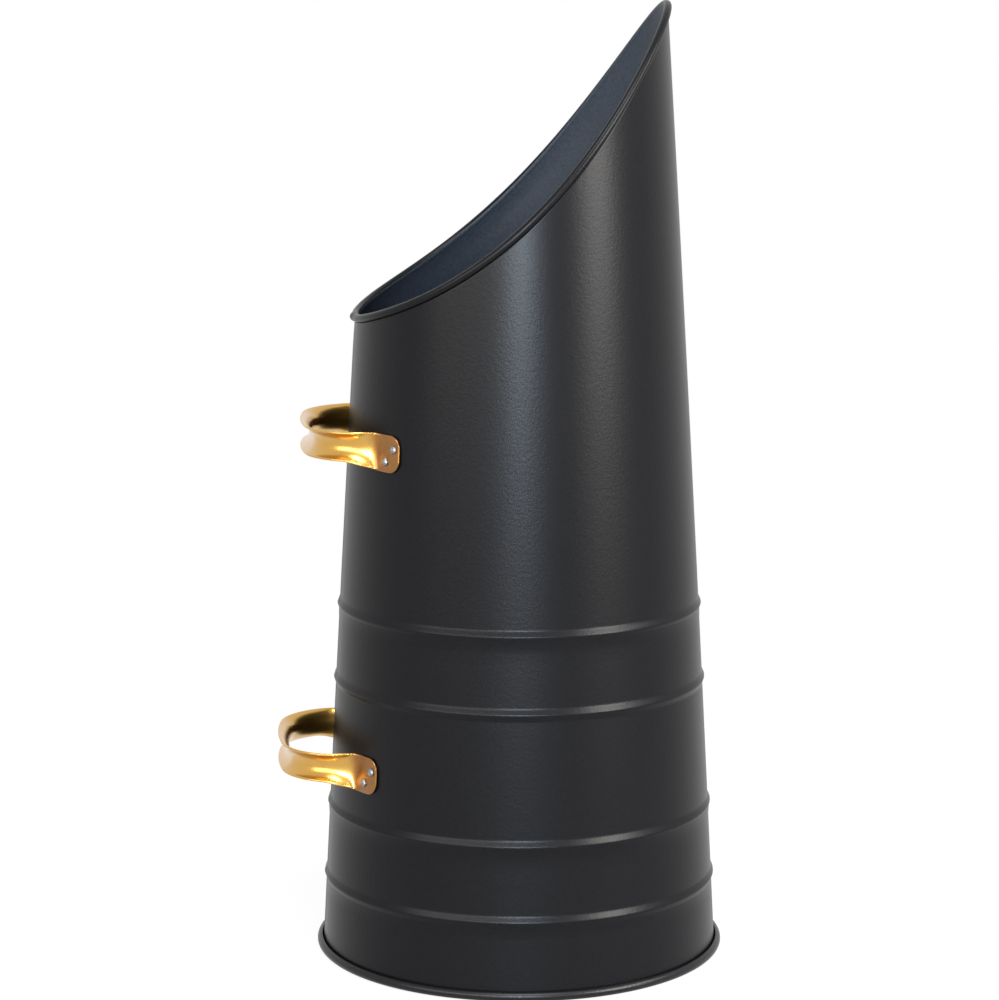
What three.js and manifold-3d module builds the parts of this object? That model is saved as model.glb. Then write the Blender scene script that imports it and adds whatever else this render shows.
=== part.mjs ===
// Tall coal hod in thin sheet steel. A tapered round body with a scooped mouth is seamed to a
// base pan, a wire is rolled into its mouth edge, four beads stiffen its lower half, and two
// brass strap handles are riveted to the low side.
// Millimetres, +Z up. The spout tip points along +X and the handles stand out along -X.
// Angles round the body start at the low lip (-X) and grow towards -Y.
import * as THREE from 'three';
import { mergeVertices } from 'three/addons/utils/BufferGeometryUtils.js';
import Module from 'manifold-3d';

const wasm = await Module();
wasm.setup();

// Body wall, measured on its outside
const sheet = 0.7;
const baseRadius = 101.8;
const tipRadius = 73.6;
const wallBow = 0.7;

// Mouth edge: the centre of its roll, drawn in the side view as one curve from lip to tip
const tipHeight = 483.2;
const lipHeight = 327.7;
const lipSlope = 30;
const tipSlope = 61.3;
const lipFullness = 0.137;
const tipFullness = 0.63;

// Rolled mouth edge and the wire inside it. Below the roll the wall tucks in to a neck.
const rollRadius = 2.0;
const rollInset = 0.2;
const rollStart = 212;
const rollGap = 0.3;
const neckDepth = 4.4;
const neckBend = 2.3;
const neckTuck = 0.9;
const wireButt = 0.4;

// Stiffening beads pressed out through the wall: a long straight flank above the crest, a short one below
const beadHeights = [39, 76.8, 142.3, 180.8];
const beadProud = 1.2;
const flankAbove = 3.7;
const flankBelow = 2.9;
const crestHalf = 0.5;

// Folded seam down the low side
const seamWidth = 6;
const seamProud = 0.8;
const seamEdge = 0.6;
const seamFoot = 6;
const seamRunIn = 2;

// Base pan, curled up round the body's foot flange
const panSheet = 0.8;
const panCurl = 2.4;
const panOverhang = 3.2;
const restRing = 11.8;
const panelRise = 3;
const panelStep = 4;
const footFlange = 1.2;
const flangeBend = 1.6;

// Strap handles
const strapWidth = 18.6;
const strapThickness = 1.2;
const handleSpan = 119.6;
const footLength = 14.6;
const footCorner = 6.5;
const bendRadius = 5;
const shoulderRadius = 27;
const gripBow = 165;
const gutterAngle = 73.5;
const gutterStart = 10.6;
const gutterRun = 23;
const loopLift = 2.9;
const upperHandle = { height: 266, reach: 18.5 };
const lowerHandle = { height: 103.3, reach: 22.2 };

// Rivets: two in each foot, set on a slant
const rivetShank = 1.3;
const rivetHead = 2.1;
const rivetDome = 1.2;
const rivetTail = 0.9;
const tailChamfer = 0.45;
const rivetSpots = [{ fromEnd: 4, rise: 2.4 }, { fromEnd: 9.6, rise: -4 }];

// Running clearance between pieces that touch
const seatGap = 0.3;

// Fineness of the round surfaces
const facets = 48;
const rivetFacets = 8;
const wireFacets = 6;

const blackEnamel = new THREE.MeshStandardMaterial({ color: 0x25272a, roughness: 0.42, metalness: 0.1 });
const wireSteel = new THREE.MeshStandardMaterial({ color: 0x8a8d90, roughness: 0.45, metalness: 1.0 });
const polishedBrass = new THREE.MeshStandardMaterial({ color: 0xd9a441, roughness: 0.28, metalness: 1.0 });
const rivetMetal = new THREE.MeshStandardMaterial({ color: 0xc9cacb, roughness: 0.4, metalness: 1.0 });

// ---------- wall surface ----------

function wallRadius(z) {
  const s = z / tipHeight;
  return baseRadius + (tipRadius - baseRadius) * s + 4 * wallBow * s * (1 - s);
}

function wallSlope(z) {
  const s = z / tipHeight;
  return (tipRadius - baseRadius + 4 * wallBow * (1 - 2 * s)) / tipHeight;
}

// Unit vector square to the wall, pointing away from the axis
function wallNormal(angle, z) {
  const lean = Math.atan(-wallSlope(z));
  const flat = Math.cos(lean);
  return new THREE.Vector3(-Math.cos(angle) * flat, -Math.sin(angle) * flat, Math.sin(lean));
}

function wallPoint(angle, z, out) {
  const r = wallRadius(z);
  return new THREE.Vector3(-r * Math.cos(angle), -r * Math.sin(angle), z)
    .addScaledVector(wallNormal(angle, z), out);
}

// ---------- mouth edge ----------

function mouthSideView() {
  const lip = new THREE.Vector2(-wallRadius(lipHeight), lipHeight);
  const tip = new THREE.Vector2(wallRadius(tipHeight), tipHeight);
  const chord = lip.distanceTo(tip);
  const heading = (degrees) => {
    const a = THREE.MathUtils.degToRad(degrees);
    return new THREE.Vector2(Math.cos(a), Math.sin(a));
  };
  const fromLip = lip.clone().addScaledVector(heading(lipSlope), lipFullness * chord);
  const toTip = tip.clone().addScaledVector(heading(tipSlope), -tipFullness * chord);
  return new THREE.CubicBezierCurve(lip, fromLip, toTip, tip);
}

const sideView = mouthSideView();

// Height at which the side-view curve crosses the wall at this angle, by halving
function mouthHeight(angle) {
  let low = 0;
  let high = 1;
  for (let i = 0; i < 40; i += 1) {
    const mid = (low + high) / 2;
    const p = sideView.getPoint(mid);
    if (p.x + wallRadius(p.y) * Math.cos(angle) < 0) {
      low = mid;
    } else {
      high = mid;
    }
  }
  return sideView.getPoint((low + high) / 2).y;
}

// A point beside the mouth edge: `out` from the wall's outside, `up` along the wall, square to the edge
function mouthPoint(angle, out, up) {
  const z = mouthHeight(angle);
  const r = wallRadius(z);
  const step = 1e-3;
  const climb = (mouthHeight(angle + step) - mouthHeight(angle - step)) / (2 * step * r);
  const scale = up / Math.hypot(1, climb);
  return wallPoint(angle - (climb * scale) / r, z + scale, out);
}

// ---------- mesh helpers ----------

function signedVolume(geometry) {
  const position = geometry.getAttribute('position');
  const index = geometry.getIndex();
  const corner = [new THREE.Vector3(), new THREE.Vector3(), new THREE.Vector3()];
  let sum = 0;
  for (let i = 0; i < index.count; i += 3) {
    corner.forEach((v, k) => v.fromBufferAttribute(position, index.getX(i + k)));
    sum += corner[0].dot(corner[1].cross(corner[2]));
  }
  return sum / 6;
}

// Indexed surface whose faces are turned outwards
function surface(points, faces) {
  const geometry = new THREE.BufferGeometry().setFromPoints(points);
  geometry.setIndex(faces.flat());
  if (signedVolume(geometry) < 0) {
    geometry.setIndex(faces.map(([a, b, c]) => [a, c, b]).flat());
  }
  geometry.computeVertexNormals();
  return geometry;
}

// Rings of equal length joined one to the next. `looped` joins the last ring to the first;
// otherwise both ends are closed by pairing the points of each half of the end ring.
function skinRings(rings, looped) {
  const size = rings[0].length;
  const faces = [];
  const spans = looped ? rings.length : rings.length - 1;
  for (let i = 0; i < spans; i += 1) {
    const here = i * size;
    const next = ((i + 1) % rings.length) * size;
    for (let j = 0; j < size; j += 1) {
      const k = (j + 1) % size;
      faces.push([here + j, next + j, next + k], [here + j, next + k, here + k]);
    }
  }
  if (!looped) {
    [0, (rings.length - 1) * size].forEach((start, end) => {
      for (let j = 0; j < size / 2 - 1; j += 1) {
        const quad = [start + j, start + j + 1, start + size - 2 - j, start + size - 1 - j];
        const turned = end === 0 ? quad : quad.reverse();
        faces.push([turned[0], turned[1], turned[2]], [turned[0], turned[2], turned[3]]);
      }
    });
  }
  return surface(rings.flat(), faces);
}

function toSolid(geometry) {
  const bare = geometry.clone();
  bare.deleteAttribute('normal');
  bare.deleteAttribute('uv');
  const merged = mergeVertices(bare, 1e-4);
  return new wasm.Manifold(new wasm.Mesh({
    numProp: 3,
    vertProperties: new Float32Array(merged.getAttribute('position').array),
    triVerts: new Uint32Array(merged.getIndex().array),
  }));
}

function toGeometry(solid) {
  const mesh = solid.getMesh();
  const geometry = new THREE.BufferGeometry();
  geometry.setAttribute('position', new THREE.BufferAttribute(mesh.vertProperties, mesh.numProp));
  geometry.setIndex(new THREE.BufferAttribute(mesh.triVerts, 1));
  geometry.computeVertexNormals();
  return geometry;
}

function drill(geometry, holes) {
  const drilled = holes.reduce((solid, hole) => solid.subtract(toSolid(hole)), toSolid(geometry));
  return toGeometry(drilled);
}

// ---------- body sheet ----------

// Stations round the body: the seam's four edges by arc length, then even angles for the rest
function bodyStations() {
  const edges = [-seamWidth / 2 - seamEdge, -seamWidth / 2, seamWidth / 2, seamWidth / 2 + seamEdge];
  const seam = edges.map((arc) => ({ arc, onSeam: Math.abs(arc) <= seamWidth / 2 }));
  const even = [];
  for (let i = 1; i < facets; i += 1) {
    even.push({ angle: (i * 2 * Math.PI) / facets, onSeam: false });
  }
  return [...seam, ...even];
}

function stationAngle(station, z) {
  return station.arc === undefined ? station.angle : station.arc / wallRadius(z);
}

// One stop of the body's closed profile, as a function from a station to a point
const flangeStop = (out, z) => (station) => {
  const angle = stationAngle(station, z);
  const r = wallRadius(z) + out;
  return new THREE.Vector3(-r * Math.cos(angle), -r * Math.sin(angle), z);
};

const wallStop = (z, out, ribbed) => (station) => {
  const rib = ribbed && station.onSeam ? seamProud : 0;
  return wallPoint(stationAngle(station, z), z, out + rib);
};

const mouthStop = (out, up) => (station) => mouthPoint(stationAngle(station, lipHeight), out, up);

// Between the top bead and the neck under the roll, `share` of the way up the wall
const spanStop = (share, out, ribbed) => (station) => {
  const bottom = Math.max(...beadHeights) + flankAbove;
  const neck = mouthPoint(stationAngle(station, lipHeight), 0, -neckDepth);
  const turn = Math.atan2(-neck.y, -neck.x);
  const start = Math.atan2(Math.sin(stationAngle(station, bottom)), Math.cos(stationAngle(station, bottom)));
  let sweep = turn - start;
  sweep -= Math.round(sweep / (2 * Math.PI)) * 2 * Math.PI;
  const rib = ribbed && station.onSeam ? seamProud : 0;
  const z = THREE.MathUtils.lerp(bottom, neck.z, share);
  return wallPoint(start + share * sweep, z, out + rib);
};

// Points of the roll about its own centre, from one angle to another, in degrees
function rollArc(radius, from, to, steps) {
  return Array.from({ length: steps + 1 }, (_, i) => {
    const a = THREE.MathUtils.degToRad(from + ((to - from) * i) / steps);
    return mouthStop(radius * Math.cos(a) - rollInset, radius * Math.sin(a));
  });
}

// The wall from just above the foot flange to just under the roll, on one face of the sheet
function wallRun(out, ribbed) {
  const shape = [[-flankBelow, 0], [-crestHalf, 0.92], [0, 1], [crestHalf, 0.92], [flankAbove, 0]];
  const beads = beadHeights.flatMap((z) => shape.map(
    ([above, share]) => wallStop(z + above, out + share * beadProud, ribbed)));
  return [
    wallStop(seamFoot, out, false),
    wallStop(seamFoot + seamRunIn, out, ribbed),
    ...beads,
    spanStop(0.5, out, ribbed),
    spanStop(0.96, out, ribbed),
    mouthStop(out, -neckDepth),
  ];
}

function bodySheet() {
  const flangeTop = panSheet + seatGap + sheet;
  const outerFace = [
    flangeStop(footFlange, flangeTop),
    flangeStop(footFlange * 0.7, flangeTop),
    flangeStop(footFlange * 0.2, flangeTop + flangeBend * 0.4),
    flangeStop(0, flangeTop + flangeBend),
    ...wallRun(0, true),
    mouthStop(-rollInset - neckTuck, -neckBend),
    ...rollArc(rollRadius - sheet, rollStart, -90, 5),
  ];
  const innerFace = [
    flangeStop(footFlange, flangeTop - sheet),
    flangeStop(footFlange * 0.4, flangeTop - sheet),
    flangeStop(-sheet * 0.4, flangeTop),
    flangeStop(-sheet, flangeTop + flangeBend),
    ...wallRun(-sheet, false),
    mouthStop(-rollInset - neckTuck - sheet, -neckBend - rollInset),
    ...rollArc(rollRadius, rollStart, -90, 7),
  ];
  const profile = [...outerFace, ...innerFace.reverse()];
  const rings = bodyStations().map((station) => profile.map((stop) => stop(station)));
  return drill(skinRings(rings, true), rivetPlaces().map(rivetHole));
}

// ---------- mouth wire ----------

// The wire's two ends meet behind the seam
function mouthWire() {
  const radius = rollRadius - sheet - rollGap;
  const [, seamStart, seamEnd, ...rest] = bodyStations();
  const first = { arc: wireButt };
  const last = { arc: -wireButt };
  const path = [first, seamEnd, ...rest, bodyStations()[0], seamStart, last];
  const section = rollArc(radius, 0, 360 - 360 / wireFacets, wireFacets - 1);
  return skinRings(path.map((station) => section.map((stop) => stop(station))), false);
}

// ---------- base pan ----------

function curlArc(cx, cz, radius, from, to, steps) {
  return Array.from({ length: steps + 1 }, (_, i) => {
    const a = THREE.MathUtils.degToRad(from + ((to - from) * i) / steps);
    return new THREE.Vector2(cx + radius * Math.cos(a), cz + radius * Math.sin(a));
  });
}

function basePan() {
  const curlCentre = baseRadius + panOverhang - panCurl;
  const ringInside = baseRadius - restRing;
  const panelRadius = ringInside - panelStep;
  const underside = [
    new THREE.Vector2(0, panelRise),
    new THREE.Vector2(panelRadius, panelRise),
    new THREE.Vector2(ringInside, 0),
    ...curlArc(curlCentre, panCurl, panCurl, -90, 90, 6),
  ];
  const topside = [
    ...curlArc(curlCentre, panCurl, panCurl - panSheet, 90, -90, 6),
    new THREE.Vector2(ringInside, panSheet),
    new THREE.Vector2(panelRadius, panelRise + panSheet),
    new THREE.Vector2(0, panelRise + panSheet),
  ];
  const pan = new THREE.LatheGeometry([...underside, ...topside], facets);
  return pan.rotateX(Math.PI / 2);
}

// ---------- strap handles ----------

function footEndAngle(height) {
  return Math.asin(handleSpan / 2 / (wallRadius(height) + seatGap));
}

// Half of the handle in plan, from the end of one foot to the middle of the loop. The strap lies on
// the wall, bends away from it, runs straight out, turns over the shoulder and bows across the grip.
function halfLoop({ height, reach }) {
  const r = wallRadius(height);
  const lie = r + seatGap;
  const stations = [];
  let run = 0;
  const add = (x, y, heading) => {
    const last = stations.at(-1);
    run += last ? Math.hypot(x - last.x, y - last.y) : 0;
    stations.push({ x, y, heading, run });
  };
  const corner = [0, 0.08, 0.28, 1].map((share) => share * footCorner);
  for (const fromEnd of [...corner, gutterStart, footLength]) {
    const angle = footEndAngle(height) - fromEnd / r;
    add(-lie * Math.cos(angle), -lie * Math.sin(angle), angle);
  }
  const turn = (radius, from, to, steps) => {
    const { x, y } = stations.at(-1);
    for (let i = 1; i <= steps; i += 1) {
      const a = from + ((to - from) * i) / steps;
      const side = Math.sign(to - from);
      add(
        x + side * radius * (Math.cos(a) - Math.cos(from)),
        y + side * radius * (Math.sin(a) - Math.sin(from)),
        a,
      );
    }
  };
  const out = Math.PI / 2;
  turn(bendRadius, stations.at(-1).heading, out, 4);
  const bendEnd = stations.at(-1);
  // The shoulder's arc and the bow's arc touch where both head this way
  const bowHeading = Math.asin((-bendEnd.y - shoulderRadius) / (gripBow - shoulderRadius));
  const shoulderDepth = shoulderRadius * Math.cos(bowHeading);
  const bowDepth = gripBow * (1 - Math.cos(bowHeading));
  const legEnd = -(r + reach) + shoulderDepth + bowDepth;
  add((bendEnd.x + legEnd) / 2, bendEnd.y, out);
  add(legEnd, bendEnd.y, out);
  turn(shoulderRadius, out, bowHeading, 5);
  turn(gripBow, bowHeading, 0, 2);
  return stations;
}

// One ring round the strap at a station: the body side from edge to edge, then the outer side back
function strapRing({ x, y, heading, run }, height) {
  const form = THREE.MathUtils.smoothstep(run, gutterStart, gutterStart + gutterRun);
  const half = THREE.MathUtils.degToRad(Math.max(gutterAngle * form, 0.1));
  const lean = Math.atan(-wallSlope(height)) * (1 - form);
  const z = height + loopLift * form;
  const cut = Math.max(footCorner - run, 0);
  const trim = footCorner - Math.sqrt(footCorner ** 2 - cut ** 2);
  const reachAcross = 1 - trim / (strapWidth / 2);
  const across = new THREE.Vector3(Math.cos(heading), Math.sin(heading), 0)
    .multiplyScalar(Math.sin(lean)).setZ(Math.cos(lean));
  const away = new THREE.Vector3(-Math.cos(heading), -Math.sin(heading), 0)
    .multiplyScalar(Math.cos(lean)).setZ(Math.sin(lean));
  const middle = strapWidth / (2 * half);
  const face = (radius) => [-1, -0.67, -0.33, 0, 0.33, 0.67, 1].map((share) => {
    const a = half * share * reachAcross;
    return new THREE.Vector3(x, y, z)
      .addScaledVector(across, radius * Math.sin(a))
      .addScaledVector(away, middle + strapThickness / 2 - radius * Math.cos(a));
  });
  return [...face(middle + strapThickness / 2), ...face(middle - strapThickness / 2).reverse()];
}

function strapHandle(handle) {
  const near = halfLoop(handle);
  const far = near.slice(0, -1).reverse().map(
    ({ x, y, heading, run }) => ({ x, y: -y, heading: -heading, run }));
  const rings = [...near, ...far].map((station) => strapRing(station, handle.height));
  const holes = rivetPlaces().filter((place) => place.handle === handle).map(rivetHole);
  return drill(skinRings(rings, false), holes);
}

// ---------- rivets ----------

// Every rivet's seat on the wall: where its axis crosses the outside, and the way it points
function rivetPlaces() {
  const places = [];
  for (const [name, handle] of [['upper', upperHandle], ['lower', lowerHandle]]) {
    for (const [side, sign] of [['near', 1], ['far', -1]]) {
      rivetSpots.forEach(({ fromEnd, rise }, i) => {
        const z = handle.height + rise;
        const angle = sign * (footEndAngle(handle.height) - fromEnd / wallRadius(handle.height));
        places.push({
          name: `${name}_${side}_rivet_${i + 1}`,
          handle,
          seat: wallPoint(angle, z, 0),
          axis: wallNormal(angle, z),
        });
      });
    }
  }
  return places;
}

function turnTo(axis) {
  return new THREE.Quaternion().setFromUnitVectors(new THREE.Vector3(0, 1, 0), axis);
}

function rivetHole({ seat, axis }) {
  const depth = 8;
  const hole = new THREE.CylinderGeometry(rivetShank + seatGap, rivetShank + seatGap, depth, rivetFacets);
  return hole.applyQuaternion(turnTo(axis)).translate(seat.x, seat.y, seat.z);
}

// Domed head outside the strap, plain shank, and the flattened end inside the body
function rivet() {
  const headSeat = seatGap + strapThickness + seatGap;
  const tailSeat = -sheet - seatGap;
  const profile = [
    [0, tailSeat - rivetTail],
    [rivetHead - tailChamfer, tailSeat - rivetTail],
    [rivetHead, tailSeat - rivetTail + tailChamfer],
    [rivetHead, tailSeat],
    [rivetShank, tailSeat],
    [rivetShank, headSeat],
    ...[0, 35, 65].map((degrees) => {
      const a = THREE.MathUtils.degToRad(degrees);
      return [rivetHead * Math.cos(a), headSeat + rivetDome * Math.sin(a)];
    }),
    [0, headSeat + rivetDome],
  ];
  return new THREE.LatheGeometry(profile.map(([r, y]) => new THREE.Vector2(r, y)), rivetFacets);
}

// ---------- assembly ----------

function named(name, geometry, material) {
  const mesh = new THREE.Mesh(geometry, material);
  mesh.name = name;
  return mesh;
}

const hod = new THREE.Group();
hod.add(named('body_sheet', bodySheet(), blackEnamel));
hod.add(named('mouth_wire', mouthWire(), wireSteel));
hod.add(named('base_pan', basePan(), blackEnamel));
hod.add(named('upper_handle', strapHandle(upperHandle), polishedBrass));
hod.add(named('lower_handle', strapHandle(lowerHandle), polishedBrass));
for (const { name, seat, axis } of rivetPlaces()) {
  const mesh = named(name, rivet(), rivetMetal);
  mesh.position.copy(seat);
  mesh.quaternion.copy(turnTo(axis));
  hod.add(mesh);
}

// The origin is under the middle of the overall footprint, from grip to base ring
const footprint = new THREE.Box3().setFromObject(hod);
hod.position.x = -(footprint.min.x + footprint.max.x) / 2;

export default hod;
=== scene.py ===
"""Looks of a tall coal hod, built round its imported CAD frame.

Metres, +Z up. The spout tip points along +X and the handles stand out along -X. Angles round the
body start at the low lip (-X) and grow towards -Y, which is the side that faces the camera.
"""

import math

import bpy
import numpy as np
from mathutils import Euler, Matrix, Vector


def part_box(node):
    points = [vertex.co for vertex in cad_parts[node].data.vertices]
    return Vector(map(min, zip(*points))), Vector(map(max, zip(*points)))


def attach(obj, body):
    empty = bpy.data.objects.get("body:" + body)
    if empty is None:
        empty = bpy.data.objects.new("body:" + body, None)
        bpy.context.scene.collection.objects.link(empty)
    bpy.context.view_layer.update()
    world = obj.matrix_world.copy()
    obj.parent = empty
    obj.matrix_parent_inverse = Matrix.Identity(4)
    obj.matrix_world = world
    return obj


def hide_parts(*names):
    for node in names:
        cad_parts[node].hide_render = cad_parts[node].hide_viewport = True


bl_info = {
    "name": "Coal hod looks",
    "version": (1, 0, 0),
    "blender": (4, 5, 0),
    "location": "3D View > Sidebar > Coal hod",
    "description": "Surfaces, finishes and stage of a tall coal hod with brass strap handles",
    "category": "Object",
}

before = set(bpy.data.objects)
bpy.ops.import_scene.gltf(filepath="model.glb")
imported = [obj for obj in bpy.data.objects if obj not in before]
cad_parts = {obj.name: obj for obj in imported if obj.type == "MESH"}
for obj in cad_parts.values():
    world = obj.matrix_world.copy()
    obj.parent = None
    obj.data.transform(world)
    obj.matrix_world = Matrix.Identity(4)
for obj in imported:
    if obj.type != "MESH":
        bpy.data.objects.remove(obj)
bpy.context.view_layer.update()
PAN_LOW, PAN_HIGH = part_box("base_pan")
AXIS_X = (PAN_LOW.x + PAN_HIGH.x) / 2
MM = 0.001


def srgb_hex(text):
    """Linear red, green and blue of an sRGB hex colour."""
    raw = [int(text[i:i + 2], 16) / 255 for i in (1, 3, 5)]
    return tuple(c / 12.92 if c <= 0.04045 else ((c + 0.055) / 1.055) ** 2.4 for c in raw)


def length(name, description, default):
    """A size in metres that a user can change."""
    return bpy.props.FloatProperty(
        name=name, description=description, default=default, min=0.0, unit="LENGTH",
        precision=5)


def colour(name, description, hexcode):
    """A colour that a user can change."""
    return bpy.props.FloatVectorProperty(
        name=name, description=description, subtype="COLOR", size=3, min=0.0, max=1.0,
        default=srgb_hex(hexcode))


class HodBodySizes(bpy.types.PropertyGroup):
    """Sizes of the sheet body, its mouth edge, beads, seam and base pan."""

    base_radius: length("Foot radius", "Outside of the wall at the floor", 0.1018)
    tip_radius: length("Tip radius", "Outside of the wall at the spout tip", 0.0736)
    wall_bow: length("Wall bow", "How far the wall stands proud of a straight cone", 0.0007)
    tip_height: length("Tip height", "Height of the mouth edge at the spout tip", 0.4832)
    lip_height: length("Lip height", "Height of the mouth edge at the low lip", 0.3277)
    sheet: length("Sheet", "Thickness of the body sheet", 0.0007)
    roll_radius: length("Roll radius", "Outside radius of the rolled mouth edge", 0.0020)
    bead_proud: length("Bead rise", "How far a bead stands out of the wall", 0.0012)
    seam_width: length("Seam width", "Width of the folded long seam", 0.0060)
    seam_proud: length("Seam rise", "How far the folded seam stands out", 0.00015)
    bead_heights: bpy.props.FloatVectorProperty(
        name="Bead heights", description="Height of each bead's crest", size=4,
        default=(0.039, 0.0768, 0.1423, 0.1808), unit="LENGTH", precision=4)
    lip_slope: bpy.props.FloatProperty(
        name="Lip slope", description="Slope of the mouth edge at the low lip",
        default=math.radians(30), subtype="ANGLE")
    tip_slope: bpy.props.FloatProperty(
        name="Tip slope", description="Slope of the mouth edge at the tip",
        default=math.radians(61.3), subtype="ANGLE")
    pan_sheet: length("Pan sheet", "Thickness of the base pan", 0.0008)
    pan_curl: length("Pan curl", "Radius of the pan's curled rim", 0.0024)
    pan_overhang: length("Pan overhang", "How far the pan's rim stands out of the wall", 0.0032)


class HodHandleSizes(bpy.types.PropertyGroup):
    """Sizes of the two strap handles and their rivets."""

    strap_width: length("Strap width", "Width of the flat brass strap", 0.0186)
    strap_thickness: length("Strap thickness", "Thickness of the brass strap", 0.0012)
    span: length("Span", "Distance between the ends of a handle's feet", 0.1196)
    upper_height: length("Upper height", "Height of the upper handle's feet", 0.266)
    upper_reach: length("Upper reach", "How far the upper grip stands off the wall", 0.0185)
    lower_height: length("Lower height", "Height of the lower handle's feet", 0.1033)
    lower_reach: length("Lower reach", "How far the lower grip stands off the wall", 0.0222)
    rivet_head: length("Rivet head", "Radius of a rivet's domed head", 0.0021)


class HodColours(bpy.types.PropertyGroup):
    """Colours of the finishes and of the stage."""

    coat: colour("Outer coat", "Black stove coating outside", "#08080a")
    # inside colour: a lighter blue-grey than the real black coat, a painted reflection of the sky
    inside_painted_reflection: colour("Inner coat", "Blue-grey inside colour, a painted sky reflection", "#272d35")
    brass: colour("Brass", "Polished brass strap", "#cd9f4a")
    # darker, more copper brass for the feet and bends: painted shade
    brass_painted_shade: colour("Brass shade", "Darker brass painted on the feet and bends as shade", "#8c5e2a")
    rivet: colour("Rivet", "Aluminium of the rivets", "#8e8f92")
    floor: colour("Floor", "Pale studio floor", "#f2f2f2")


def body_sizes():
    """The scene's sizes of the body, its mouth edge, beads, seam and pan."""
    return bpy.context.scene.hod_body


def handle_sizes():
    """The scene's sizes of the handles and rivets."""
    return bpy.context.scene.hod_handle


def colours():
    """The scene's colours."""
    return bpy.context.scene.hod_colours


def ease(share):
    """A share from 0 to 1 made level at both ends: three of its squares less two of its cubes."""
    return share * share * (3 - 2 * share)


# ---------- wall and mouth edge ----------

def polar_point(angle, r, z):
    """Points at an angle round the body's axis, a radius and a height."""
    angle, r, z = np.broadcast_arrays(angle, r, z)
    return np.stack([-r * np.cos(angle), -r * np.sin(angle), z], -1)


def wall_radius(z):
    """Outside radius at a height: a straight cone plus a parabolic bow, both zero-based at the floor
    and at the tip height."""
    b = body_sizes()
    s = z / b.tip_height
    return b.base_radius + (b.tip_radius - b.base_radius) * s + 4 * b.wall_bow * s * (1 - s)


def wall_slope(z):
    """Change of the wall radius with height, the derivative of wall_radius."""
    b = body_sizes()
    s = z / b.tip_height
    return (b.tip_radius - b.base_radius + 4 * b.wall_bow * (1 - 2 * s)) / b.tip_height


def wall_normal(angle, z):
    """Unit vector square to the wall: outwards along the angle, leaned up by the wall's taper."""
    lean = np.arctan(-wall_slope(z))
    flat = np.cos(lean)
    return np.stack(np.broadcast_arrays(
        -np.cos(angle) * flat, -np.sin(angle) * flat, np.sin(lean)), -1)


def wall_point(angle, z, out):
    """The wall's outside at an angle and height, moved by `out` along its normal."""
    angle, z, out = np.broadcast_arrays(angle, z, out)
    return polar_point(angle, wall_radius(z), z) + wall_normal(angle, z) * out[..., None]


# how far the mouth edge keeps to its slope at each end, as a share of the chord from lip to tip
LIP_FULLNESS = 0.137
TIP_FULLNESS = 0.63
MOUTH_SAMPLES = 6001


def mouth_table():
    """Angle and height along the mouth edge. In the side view the edge is one cubic Bezier curve from
    lip to tip; a point at x lies on the wall at the angle whose cosine is -x over the radius."""
    b = body_sizes()
    lip = np.array([-wall_radius(b.lip_height), b.lip_height])
    tip = np.array([wall_radius(b.tip_height), b.tip_height])
    chord = np.linalg.norm(tip - lip)
    lip_pull = lip + LIP_FULLNESS * chord * np.array([math.cos(b.lip_slope), math.sin(b.lip_slope)])
    tip_pull = tip - TIP_FULLNESS * chord * np.array([math.cos(b.tip_slope), math.sin(b.tip_slope)])
    t = ease(np.linspace(0, 1, MOUTH_SAMPLES))[:, None]
    curve = ((1 - t) ** 3 * lip + 3 * t * (1 - t) ** 2 * lip_pull
             + 3 * t * t * (1 - t) * tip_pull + t ** 3 * tip)
    cosine = np.clip(-curve[:, 0] / wall_radius(curve[:, 1]), -1, 1)
    return np.arccos(cosine), curve[:, 1]


def mouth_height(angle, table):
    """Height of the mouth edge at an angle, the same on both sides."""
    turned = np.abs(np.mod(angle + np.pi, 2 * np.pi) - np.pi)
    return np.interp(turned, *table)


def beside_mouth(angle, out, up, table):
    """A point near the mouth edge: `up` along the wall and square to the edge, then `out` along the
    wall's normal. Returns the angle and height of its foot, and the point."""
    z = mouth_height(angle, table)
    r = wall_radius(z)
    step = 2e-3
    climb = (mouth_height(angle + step, table) - mouth_height(angle - step, table)) / (2 * step * r)
    scale = up / np.hypot(1, climb)
    foot_angle = angle - climb * scale / r
    foot_z = z + scale
    return foot_angle, foot_z, wall_point(foot_angle, foot_z, out)


# ---------- mesh helpers ----------

def grid_faces(rows, cols, wrap_rows=False, wrap_cols=True):
    """Quads of a rows by cols grid of points, joined round either way if asked."""
    i = np.arange(rows if wrap_rows else rows - 1)
    j = np.arange(cols if wrap_cols else cols - 1)
    i, j = np.meshgrid(i, j, indexing="ij")
    i2, j2 = (i + 1) % rows, (j + 1) % cols
    return np.stack([i * cols + j, i * cols + j2, i2 * cols + j2, i2 * cols + j], -1).reshape(-1, 4)


def signed_volume(points, quads):
    """Volume inside the faces; negative when they point inwards."""
    a, b, c, d = (points[quads[:, k]] for k in range(4))
    return float(np.einsum("ij,ij->i", a, np.cross(b, c)).sum()
                 + np.einsum("ij,ij->i", a, np.cross(c, d)).sum()) / 6


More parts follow.
